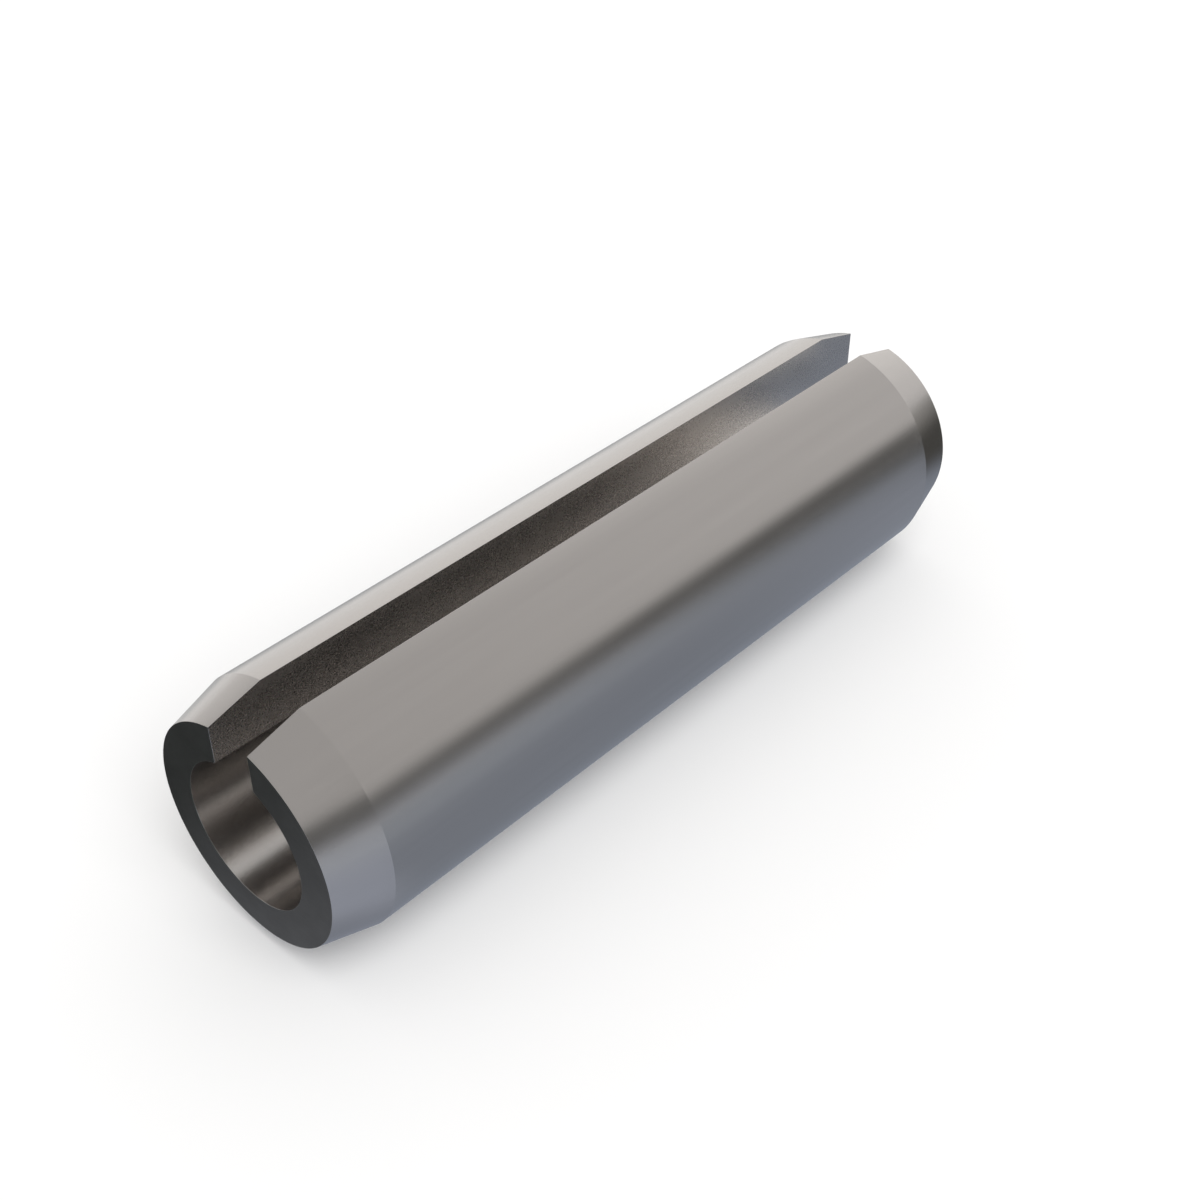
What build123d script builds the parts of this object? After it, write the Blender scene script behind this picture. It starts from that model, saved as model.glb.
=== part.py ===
from build123d import *
from math import asin, degrees
import os

# Spring roll pin: a strip of spring steel rolled round into a thick tube that stays open along a straight
# slot, with a long shallow chamfer on each end. Sizes are in millimetres and degrees.
# The pin lies along X with its slot up, and the origin is on its axis at mid-length.

# Driving dimensions
length = 35.0  # over the two end faces
outer_diameter = 10.0  # across the shank, between the chamfers
strip_thickness = 2.1
slot_width = 2.0  # the same from the outside down to the bore
chamfer_length = 2.2  # along the pin, on each end
chamfer_angle = 15.0  # between the chamfer and the pin's axis

outer_radius = outer_diameter / 2
bore_radius = outer_radius - strip_thickness


def open_arc(radius):
    """An arc about the pin's axis, from one side of the slot down and round to the other."""
    half_gap = degrees(asin(slot_width / 2 / radius))
    return CenterArc((0, 0), radius, 90 + half_gap, 360 - 2 * half_gap)


with BuildPart() as spring_pin:
    # The rolled strip in section: two open arcs joined by the strip's edges, which are the slot's walls
    with BuildSketch(Plane.YZ):
        with BuildLine():
            outside = open_arc(outer_radius)
            inside = open_arc(bore_radius)
            Line(outside @ 0, inside @ 0)
            Line(outside @ 1, inside @ 1)
        make_face()
    extrude(amount=length / 2, both=True)

    # Both ends taper from the shank to a narrower end face, right up to the slot
    shank = spring_pin.faces().filter_by(GeomType.CYLINDER).sort_by(SortBy.AREA)[-1]
    outer_rims = spring_pin.edges().filter_by(GeomType.CIRCLE).group_by(SortBy.RADIUS)[-1]
    chamfer(outer_rims, length=chamfer_length, angle=chamfer_angle, reference=shank)

os.makedirs("parts", exist_ok=True)
spring_pin.part.label = "spring_pin"
export_step(spring_pin.part, "parts/spring_pin.step")
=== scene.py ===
from math import atan2, cos, degrees, pi, radians, sin, sqrt, tan

import bpy
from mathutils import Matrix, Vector


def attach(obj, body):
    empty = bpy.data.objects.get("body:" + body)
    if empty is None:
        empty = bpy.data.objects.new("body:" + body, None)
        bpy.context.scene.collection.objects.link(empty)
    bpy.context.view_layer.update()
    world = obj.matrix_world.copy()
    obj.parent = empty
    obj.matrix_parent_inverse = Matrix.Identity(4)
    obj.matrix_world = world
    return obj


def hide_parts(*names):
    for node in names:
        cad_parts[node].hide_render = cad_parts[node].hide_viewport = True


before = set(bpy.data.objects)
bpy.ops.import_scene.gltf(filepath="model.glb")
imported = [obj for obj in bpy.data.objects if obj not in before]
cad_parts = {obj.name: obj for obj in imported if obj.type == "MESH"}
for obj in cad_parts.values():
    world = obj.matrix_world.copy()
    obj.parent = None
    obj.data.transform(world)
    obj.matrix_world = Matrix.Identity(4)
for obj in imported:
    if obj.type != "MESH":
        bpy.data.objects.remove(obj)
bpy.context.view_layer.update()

scene = bpy.context.scene

# The pin's sizes, in millimetres, as in the part's source. The pin lies along X with its slot up.
LENGTH = 35.0
SHANK_RADIUS = 5.0
BORE_RADIUS = 2.9
SLOT_HALF = 1.0
CHAMFER_LENGTH = 2.2
CHAMFER_ANGLE = radians(15.0)
END_X = LENGTH / 2
SHOULDER_X = END_X - CHAMFER_LENGTH
MM = 0.001  # the frame is in metres

# Only the finished surface has broken edges, by about a hundredth of a millimetre
RIM_BREAK = 0.010
SLOT_BREAK = 0.012

# The steps of the pin's mesh
ARC_STEPS = 124  # from the slot to the bottom, on the bore and on the outside
CORNER_STEPS = 3  # round each broken edge of the slot
RIM_STEPS = 3  # round each broken rim of an end face
SHANK_STEPS = 20
CHAMFER_STEPS = 3

# The kinds of face, in the order of the pin's materials
SKIN, CUT_END, BORE, SLIT = range(4)


def corner(y, z, broken, first, last):
    """A broken edge of the slot: an arc round (y, z), from one facing angle to another."""
    turns = [first + (last - first) * k / CORNER_STEPS for k in range(CORNER_STEPS + 1)]
    return [(y + broken * sin(t), z + broken * cos(t), t) for t in turns]


def half_outline(outer, setback):
    """The section on one side of the slot: from the bottom of the bore up to the slot, over its wall and
    down the outside. Each point is its y and z and the angle from +Z that the metal faces there. There are
    as many points on the bore's side as on the outside. setback is how far the broken rim of an end face
    has gone into the metal."""
    broken = SLOT_BREAK - setback
    bore = BORE_RADIUS + setback
    corner_y = SLOT_HALF + setback + broken
    inner_z = sqrt((bore + broken) ** 2 - corner_y ** 2)
    outer_z = sqrt((outer - broken) ** 2 - corner_y ** 2)
    inner_meet = atan2(corner_y, inner_z)
    outer_meet = atan2(corner_y, outer_z)
    inner_corner = corner(corner_y, inner_z, broken, inner_meet + pi, 1.5 * pi)
    outer_corner = corner(corner_y, outer_z, broken, -0.5 * pi, outer_meet)
    inside, outside = [], []
    for k in range(ARC_STEPS):
        share = k / ARC_STEPS
        t = pi + (inner_meet - pi) * share
        inside.append((bore * sin(t), bore * cos(t), t + pi))
        t = pi + (outer_meet - pi) * share
        outside.append((outer * sin(t), outer * cos(t), t))
    return inside + inner_corner + outer_corner + outside[::-1]


def stations():
    """The sections along the pin, from one end face to the other. Each is its x, outer radius, setback and
    the turn of its surface towards +X."""
    rim = []
    for k in range(RIM_STEPS + 1):
        turn = 0.5 * pi * (1 - k / RIM_STEPS)
        rim.append((RIM_BREAK * (1 - sin(turn)), RIM_BREAK * (1 - cos(turn)), turn))
    for k in range(1, CHAMFER_STEPS + 1):
        rim.append((RIM_BREAK + (CHAMFER_LENGTH - RIM_BREAK) * k / CHAMFER_STEPS, 0.0, 0.0))
    near = []
    for from_end, setback, turn in rim:
        radius = SHANK_RADIUS - (CHAMFER_LENGTH - from_end) * tan(CHAMFER_ANGLE) - setback
        near.append((-END_X + from_end, radius, setback, -turn))
    shank = [-SHOULDER_X + 2 * SHOULDER_X * k / SHANK_STEPS for k in range(1, SHANK_STEPS)]
    far = [(-x, radius, setback, -turn) for x, radius, setback, turn in reversed(near)]
    return near + [(x, SHANK_RADIUS, 0.0, 0.0) for x in shank] + far


def slope_at(x):
    """How far the outside faces towards +X at a place along the pin."""
    if abs(x) < SHOULDER_X:
        return 0.0
    return CHAMFER_ANGLE if x > 0 else -CHAMFER_ANGLE


def facing(angle, turn, slope):
    """The direction that the surface faces: from its angle round the pin, the turn of the broken rim and
    the chamfer's slope, which counts less and less as the rim turns into the end face."""
    lean = turn + slope * (1 - abs(turn) / (0.5 * pi))
    return (sin(lean), cos(lean) * sin(angle), cos(lean) * cos(angle))


def build_pin():
    """The pin's mesh. Its shading normals are those of the true cylinders, cones and flats."""
    verts, angles, places, turns = [], [], [], []
    for x, outer, setback, turn in stations():
        half = half_outline(outer, setback)
        loop = half + [(-y, z, -angle) for y, z, angle in reversed(half[1:-1])]
        verts += [Vector((x, y, z)) * MM for y, z, angle in loop]
        angles.append([angle for y, z, angle in loop])
        places.append(x)
        turns.append(turn)
    around = len(loop)
    half_count = len(half)
    wall_step = half_count // 2 - 1  # the step over the slot's wall
    faces, kinds, normals = [], [], []
    for row in range(len(places) - 1):
        slope = slope_at((places[row] + places[row + 1]) / 2)
        for k in range(around):
            step = min(k, around - 1 - k)
            kind = BORE if step < wall_step else SLIT if step == wall_step else SKIN
            lean = slope if kind == SKIN else 0.0
            after = (k + 1) % around
            corners = ((row, k), (row + 1, k), (row + 1, after), (row, after))
            faces.append([r * around + point for r, point in corners])
            kinds.append(kind)
            normals += [facing(angles[r][point], turns[r], lean) for r, point in corners]
    for row, outward in ((0, -1.0), (len(places) - 1, 1.0)):
        for mirrored in (False, True):
            for k in range(wall_step):
                points = [k, half_count - 1 - k, half_count - 2 - k, k + 1]
                if mirrored:
                    points = [(around - point) % around for point in points]
                if mirrored == (outward > 0):
                    points.reverse()
                faces.append([row * around + point for point in points])
                kinds.append(CUT_END)
                normals += [(outward, 0.0, 0.0)] * len(points)
    mesh = bpy.data.meshes.new("pin_surface")
    mesh.from_pydata(verts, [], faces)
    mesh.polygons.foreach_set("material_index", kinds)
    mesh.polygons.foreach_set("use_smooth", [True] * len(faces))
    mesh.validate()
    mesh.normals_split_custom_set(normals)
    made = bpy.data.objects.new("rolled_pin", mesh)
    scene.collection.objects.link(made)
    return made


# Node trees. A Mix node's colour sockets go by number, because its other sockets have the same names.
MIX_A, MIX_B, MIX_RESULT = 6, 7, 2


class Graph:
    """A node tree, made a line at a time. Sockets and plain values can be given alike."""

    def __init__(self, owner):
        owner.use_nodes = True
        self.tree = owner.node_tree

    def node(self, kind, **settings):
        made = self.tree.nodes.new(kind)
        for key, value in settings.items():
            setattr(made, key, value)
        return made

    def feed(self, socket, value):
        if hasattr(value, "is_output"):
            self.tree.links.new(value, socket)
        elif isinstance(value, tuple):
            socket.default_value = (*value, 1.0)
        else:
            socket.default_value = value

    def ramp(self, value, low, high, to_low=0.0, to_high=1.0):
        """A smooth step, from to_low where the value is low to to_high where it is high."""
        made = self.node("ShaderNodeMapRange", interpolation_type="SMOOTHSTEP")
        self.feed(made.inputs["Value"], value)
        self.feed(made.inputs["From Min"], low)
        self.feed(made.inputs["From Max"], high)
        self.feed(made.inputs["To Min"], to_low)
        self.feed(made.inputs["To Max"], to_high)
        return made.outputs["Result"]

    def math(self, operation, a, b):
        made = self.node("ShaderNodeMath", operation=operation)
        self.feed(made.inputs[0], a)
        self.feed(made.inputs[1], b)
        return made.outputs[0]

    def along(self, vector, direction):
        made = self.node("ShaderNodeVectorMath", operation="DOT_PRODUCT")
        self.feed(made.inputs[0], vector)
        made.inputs[1].default_value = direction
        return made.outputs["Value"]

    def mix(self, share, a, b, blend="MIX"):
        made = self.node("ShaderNodeMix", data_type="RGBA", blend_type=blend)
        self.feed(made.inputs["Factor"], share)
        self.feed(made.inputs[MIX_A], a)
        self.feed(made.inputs[MIX_B], b)
        return made.outputs[MIX_RESULT]


class Skin(Graph):
    """A surface's material, with patterns placed in millimetres of the object's own space."""

    def __init__(self, name):
        self.material = bpy.data.materials.new(name)
        super().__init__(self.material)
        self.surface = self.tree.nodes["Principled BSDF"]
        self.place = self.node("ShaderNodeTexCoord").outputs["Object"]

    def across(self, x, y):
        """How many millimetres a place lies along a level direction, times that direction's length."""
        return self.along(self.place, (x / MM, y / MM, 0.0))

    def height(self):
        """Millimetres above the pin's axis."""
        return self.along(self.place, (0.0, 0.0, 1 / MM))

    def noise(self, per_mm, detail):
        """Noise with a frequency per millimetre for each axis."""
        sized = self.node("ShaderNodeMapping")
        self.feed(sized.inputs["Vector"], self.place)
        sized.inputs["Scale"].default_value = [frequency / MM for frequency in per_mm]
        made = self.node("ShaderNodeTexNoise")
        self.feed(made.inputs["Vector"], sized.outputs["Vector"])
        made.inputs["Scale"].default_value = 1.0
        made.inputs["Detail"].default_value = detail
        made.inputs["Roughness"].default_value = 0.55
        return made.outputs["Fac"]

    def set(self, name, value):
        self.feed(self.surface.inputs[name], value)

    def bump(self, height, depth, strength):
        made = self.node("ShaderNodeBump")
        made.inputs["Strength"].default_value = strength
        made.inputs["Distance"].default_value = depth * MM
        self.feed(made.inputs["Height"], height)
        self.set("Normal", made.outputs["Normal"])


# Materials of the pin, and the spans of a noise's values that their ramps go over
NOISE_SPAN = (0.3, 0.7)
MOTTLE_SPAN = (0.35, 0.75)
SUM_SPAN = (0.6, 1.4)  # of two noises added


def skin_steel():
    """The outside: fine drawing marks along the pin, with a faint mottle."""
    skin = Skin("spring_steel_skin")
    grain = skin.noise((0.05, 9.0, 9.0), detail=4.0)
    streak = skin.noise((0.02, 1.6, 1.6), detail=2.0)
    mottle = skin.noise((0.25, 0.5, 0.5), detail=4.0)
    tone = skin.mix(skin.ramp(streak, *NOISE_SPAN), (0.463, 0.439, 0.422), (0.483, 0.458, 0.440))
    skin.set("Base Color", skin.mix(skin.ramp(mottle, *MOTTLE_SPAN), tone, (0.473, 0.449, 0.431)))
    skin.set("Metallic", 1.0)
    skin.set("Roughness", skin.ramp(skin.math("ADD", grain, mottle), *SUM_SPAN, 0.215, 0.25))
    skin.bump(grain, 0.002, 0.15)
    return skin.material


def cut_steel_dull_and_painted_dark():
    """The two end faces: duller, with level marks, and darker. Their darkness is partly the cut steel's own
    and partly painted shade, standing in for the dark reflection in the end faces.
    """
    skin = Skin("spring_steel_cut_painted_dark")
    grain = skin.noise((9.0, 1.2, 9.0), detail=4.0)
    mottle = skin.noise((0.6, 0.6, 0.6), detail=4.0)
    # Painted shade in part: these dark tones stand in for the dark reflection in the end faces.
    tone = skin.mix(skin.ramp(mottle, *NOISE_SPAN), (0.242, 0.24, 0.237), (0.28, 0.278, 0.275))
    skin.set("Base Color", tone)
    skin.set("Metallic", 1.0)
    skin.set("Roughness", skin.ramp(grain, *NOISE_SPAN, 0.30, 0.36))
    skin.bump(grain, 0.003, 0.2)
    return skin.material


def inner_steel(name, low, high, rough_low, rough_high):
    """The bore, or the strip's edges in the slot, with a fine speck. Its tones, low and high, are lighter
    than the outside's: painted light, standing in for the light that reaches into the bore and the slot.
    """
    skin = Skin(name)
    mottle = skin.noise((0.25, 0.5, 0.5), detail=4.0)
    speck = skin.noise((13.0, 13.0, 13.0), detail=2.0)
    tone = skin.mix(skin.ramp(mottle, *MOTTLE_SPAN), low, high)
    skin.set("Base Color", skin.mix(1.0, tone, skin.ramp(speck, *NOISE_SPAN, 0.96, 1.04), "MULTIPLY"))
    skin.set("Metallic", 1.0)
    skin.set("Roughness", skin.ramp(skin.math("ADD", speck, mottle), *SUM_SPAN, rough_low, rough_high))
    skin.bump(speck, 0.002, 0.09)
    return skin.material


pin = build_pin()
for finish in (
    skin_steel(),
    cut_steel_dull_and_painted_dark(),
    # The bore's and the slit's tones are lighter than the outside's: painted light.
    inner_steel("spring_steel_bore_painted_light", (0.65, 0.623, 0.60), (0.69, 0.661, 0.637), 0.22, 0.27),
    inner_steel("spring_steel_slit_painted_light", (0.75, 0.724, 0.705), (0.79, 0.763, 0.743), 0.25, 0.31),
):
    pin.data.materials.append(finish)
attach(pin, "root")
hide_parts("spring_pin")

# The studio: floor, cards, world and lamp, in millimetres and degrees
PALE = (0.92, 0.92, 0.92)
FLOOR_Z = -SHANK_RADIUS * MM
FLOOR_HALF = 4000.0
FLAG_X = 21.0
FLAG_Y = (-9.5, -3.6)
FLAG_Z = (-3.6, 3.9)
BAND_RADIUS = 1000.0
BAND_STEPS = 120
BAND_ROW = 4
BAND_TOP = 36
DOME_AXIS = (60.0, 70.0)  # the azimuth and elevation of the middle of the world's tilted dome


def toward(azimuth, elevation, length=1.0):
    """A direction, as a tuple: azimuth from +X to +Y and elevation from the floor, in degrees."""
    a, e = radians(azimuth), radians(elevation)
    return (length * cos(a) * cos(e), length * sin(a) * cos(e), length * sin(e))


def rectangle(first, second):
    """The corners of a rectangle, from its two ranges."""
    (a0, a1), (b0, b1) = first, second
    return ((a0, b0), (a1, b0), (a1, b1), (a0, b1))


def staged(name, verts, faces):
    mesh = bpy.data.meshes.new(name)
    mesh.from_pydata(verts, [], faces)
    made = bpy.data.objects.new(name, mesh)
    scene.collection.objects.link(made)
    return made


def sheet(name, x_range, y_range, lift=0.0):
    """A level sheet, on the floor or lifted a little above it."""
    corners = [(x * MM, y * MM, FLOOR_Z + lift * MM) for x, y in rectangle(x_range, y_range)]
    return staged(name, corners, [(0, 1, 2, 3)])


def upright(name):
    """A small upright sheet past the far end, on the camera's right."""
    corners = [(FLAG_X * MM, y * MM, z * MM) for y, z in rectangle(FLAG_Y, FLAG_Z)]
    return staged(name, corners, [(0, 1, 2, 3)])


def ring(name):
    """A low band round the set, part of a sphere about the pin, from the floor up."""
    rows = [degrees(-SHANK_RADIUS / BAND_RADIUS)] + list(range(BAND_ROW, BAND_TOP + 1, BAND_ROW))
    verts, faces = [], []
    for row in rows:
        verts += [toward(360.0 * k / BAND_STEPS, row, BAND_RADIUS * MM) for k in range(BAND_STEPS)]
    for row in range(len(rows) - 1):
        for k in range(BAND_STEPS):
            a, b = row * BAND_STEPS + k, row * BAND_STEPS + (k + 1) % BAND_STEPS
            faces.append((a, b, b + BAND_STEPS, a + BAND_STEPS))
    return staged(name, verts, faces)


floor = sheet("floor", (-FLOOR_HALF, FLOOR_HALF), (-FLOOR_HALF, FLOOR_HALF))
paper = Skin("pale_floor")
paper.set("Base Color", PALE)
paper.set("Roughness", 1.0)
paper.set("Specular IOR Level", 0.0)
floor.data.materials.append(paper.material)


def card(made, paint):
    """Makes a staged sheet a glowing card which only the metal's reflections show, lighting and shading
    nothing: a painted reflection. paint gives its
    colour and its cover: how much it hides of what lies behind it, from 0 at its faded edges to 1."""
    skin = Skin(made.name)
    tone, cover = paint(skin)
    clear = skin.node("ShaderNodeBsdfTransparent")
    glow = skin.node("ShaderNodeEmission")
    skin.feed(glow.inputs["Color"], tone)
    blend = skin.node("ShaderNodeMixShader")
    skin.feed(blend.inputs[0], cover)
    skin.feed(blend.inputs[1], clear.outputs[0])
    skin.feed(blend.inputs[2], glow.outputs[0])
    skin.feed(skin.tree.nodes["Material Output"].inputs["Surface"], blend.outputs[0])
    skin.material.cycles.emission_sampling = "NONE"
    made.data.materials.append(skin.material)
    made.visible_camera = made.visible_shadow = made.visible_diffuse = False


def faded(skin, *edges):
    """A cover that fades at each edge. An edge is the x and y of a level direction, how far along it the
    card is clear and how far along it is full, as Skin.across measures."""
    cover = 1.0
    for x, y, clear, full in edges:
        cover = skin.math("MULTIPLY", skin.ramp(skin.across(x, y), clear, full), cover)
    return cover


def grey(skin):
    """Blue-grey, on the camera's right: a painted reflection of the floor in shade. It is lighter before
    the near end and darker far out beyond the far end, darker close beside the pin as painted shade, and
    has a dark patch of painted shade close past that end."""
    middle = (8.0, 38.0)  # where the inner tones give way to the outer ones
    from_pin = skin.across(0.0, -1.0)
    lengthwise = skin.across(1.0, 0.0)
    past_end = skin.ramp(lengthwise, -15.5, -11.5)
    before_end = skin.mix(skin.ramp(from_pin, 3.2, 8.0), (0.29, 0.32, 0.385), (0.485, 0.535, 0.645))
    beside = skin.mix(skin.ramp(lengthwise, 2.0, 21.0), (0.315, 0.352, 0.418), (0.365, 0.405, 0.482))
    # Painted shade: the blue-grey is darker close beside the pin.
    beside_with_painted_shade = skin.mix(1.0, beside, skin.ramp(from_pin, 3.5, 8.0, 0.89, 1.0), "MULTIPLY")
    far_out = skin.ramp(skin.across(1.0, 0.6), -15.0, 50.0)
    beyond = skin.mix(far_out, (0.425, 0.470, 0.535), (0.14, 0.144, 0.147))
    inner = skin.mix(past_end, before_end, beside_with_painted_shade)
    outer = skin.mix(past_end, (0.58, 0.63, 0.71), beyond)
    tone = skin.mix(skin.ramp(from_pin, *middle), inner, outer)
    # A dark patch of painted shade, close past the far end.
    painted_shade_start = skin.ramp(skin.across(0.766, 0.643), 10.5, 20.0)
    painted_shade_patch = skin.math("MULTIPLY", painted_shade_start, skin.ramp(from_pin, *middle, 1.0, 0.0))
    cover = faded(skin, (0.0, -1.0, -10.0, -2.0), (-1.0, -1.0, -340.0, -70.0))
    return skin.mix(painted_shade_patch, tone, (0.17, 0.187, 0.22)), cover


def black(skin):
    """Dark, before the near end, and darker away from it: a painted dark reflection, seen in the near end
    face.
    """
    from_end = skin.ramp(skin.across(-0.6, 0.8), 9.0, 20.0)
    cover = faded(skin, (0.0, 1.0, -8.0, -2.0), (0.0, -1.0, -34.0, -18.0), (1.0, 0.0, -75.0, -45.0))
    return skin.mix(from_end, (0.20, 0.205, 0.22), (0.055, 0.06, 0.059)), cover


def side(skin):
    """Plain grey, behind the left flank: a painted reflection, seen in the metal."""
    cover = faded(skin, (0.0, 1.0, 4.0, 9.0), (0.0, -1.0, -38.0, -17.0), (1.0, 0.0, -19.0, -6.0))
    return (0.40, 0.42, 0.435), cover


def flag(skin):
    """Dark, and lighter towards its top: a painted dark reflection, seen in the metal."""
    height = skin.height()
    tone = skin.mix(skin.ramp(height, 0.8, 3.9), (0.085, 0.084, 0.079), (0.50, 0.495, 0.48))
    ends = skin.math("MULTIPLY", skin.ramp(height, -3.4, -0.6), skin.ramp(height, 2.8, 3.8, 1.0, 0.0))
    sides = faded(skin, (0.0, -1.0, 3.6, 4.4), (0.0, 1.0, -9.5, -8.0))
    return tone, skin.math("MULTIPLY", ends, sides)


def band(skin):
    """Dark, and lighter low down on the camera's right: a painted dark reflection round the set. It fades
    out where the world's dome begins.
    """
    unit = 1 / (BAND_RADIUS * MM)
    right = skin.ramp(skin.along(skin.place, toward(-82.0, -35.0, unit)), 0.64, 0.80)
    cover = skin.ramp(skin.along(skin.place, toward(*DOME_AXIS, unit)), 0.075, 0.20, 1.0, 0.0)
    return skin.mix(right, (0.15, 0.151, 0.148), (0.49, 0.515, 0.565)), cover


# Glowing cards seen only in the metal's reflections: painted reflections.
card(sheet("grey_painted_reflection", (-300.0, 500.0), (-500.0, 10.0), lift=0.02), grey)
card(sheet("black_painted_reflection", (-75.0, -17.6), (-8.0, 34.0), lift=0.04), black)
card(sheet("side_painted_reflection", (-19.0, 150.0), (4.0, 44.0), lift=0.06), side)
card(upright("flag_painted_reflection"), flag)
card(ring("band_painted_reflection"), band)

# The world: pale low down, under a tilted grey dome, brighter towards +X, and a glow low behind the pin
world = bpy.data.worlds.new("studio")
scene.world = world
sky = Graph(world)
ray = sky.node("ShaderNodeTexCoord").outputs["Generated"]
brighter = sky.ramp(sky.along(ray, (1.0, 0.0, 0.0)), 0.28, 1.1, 0.86, 1.24)
dome = sky.mix(1.0, (0.725, 0.72, 0.715), brighter, "MULTIPLY")
upper = sky.mix(sky.ramp(sky.along(ray, toward(*DOME_AXIS)), 0.075, 0.19), PALE, dome)
glow = sky.ramp(sky.along(ray, toward(41.0, 6.0)), 0.56, 0.96)
background = sky.tree.nodes["Background"]
sky.feed(background.inputs["Color"], sky.mix(glow, upper, (1.13, 1.12, 1.10)))
background.inputs["Strength"].default_value = 1.0

# The key lamp, a soft sun kept out of the reflections
key_light = bpy.data.lights.new("key", "SUN")
key_light.energy = 1.7
key_light.angle = radians(50.0)
key = bpy.data.objects.new("key", key_light)
key.rotation_mode = "QUATERNION"
key.rotation_quaternion = Vector(toward(-110.0, 55.0)).to_track_quat("Z", "Y")
key.visible_glossy = False
scene.collection.objects.link(key)

# The camera, as fitted to the photograph's outlines
EYE = Vector((-7.6017, -6.9719, 8.0418)) * SHANK_RADIUS * MM
FORWARD = Vector((0.5807, 0.5328, -0.6155))
FOCAL_PIXELS = 1659.3
IMAGE_PIXELS = 1200.0
SENSOR = 36.0
lens = bpy.data.cameras.new("camera")
lens.sensor_width = SENSOR
lens.lens = SENSOR * FOCAL_PIXELS / IMAGE_PIXELS
lens.clip_start = 0.001
lens.clip_end = 10.0
camera = bpy.data.objects.new("camera", lens)
camera.location = EYE
camera.rotation_mode = "QUATERNION"
camera.rotation_quaternion = FORWARD.to_track_quat("-Z", "Y")
scene.collection.objects.link(camera)
scene.camera = camera
scene.view_settings.view_transform = "Standard"
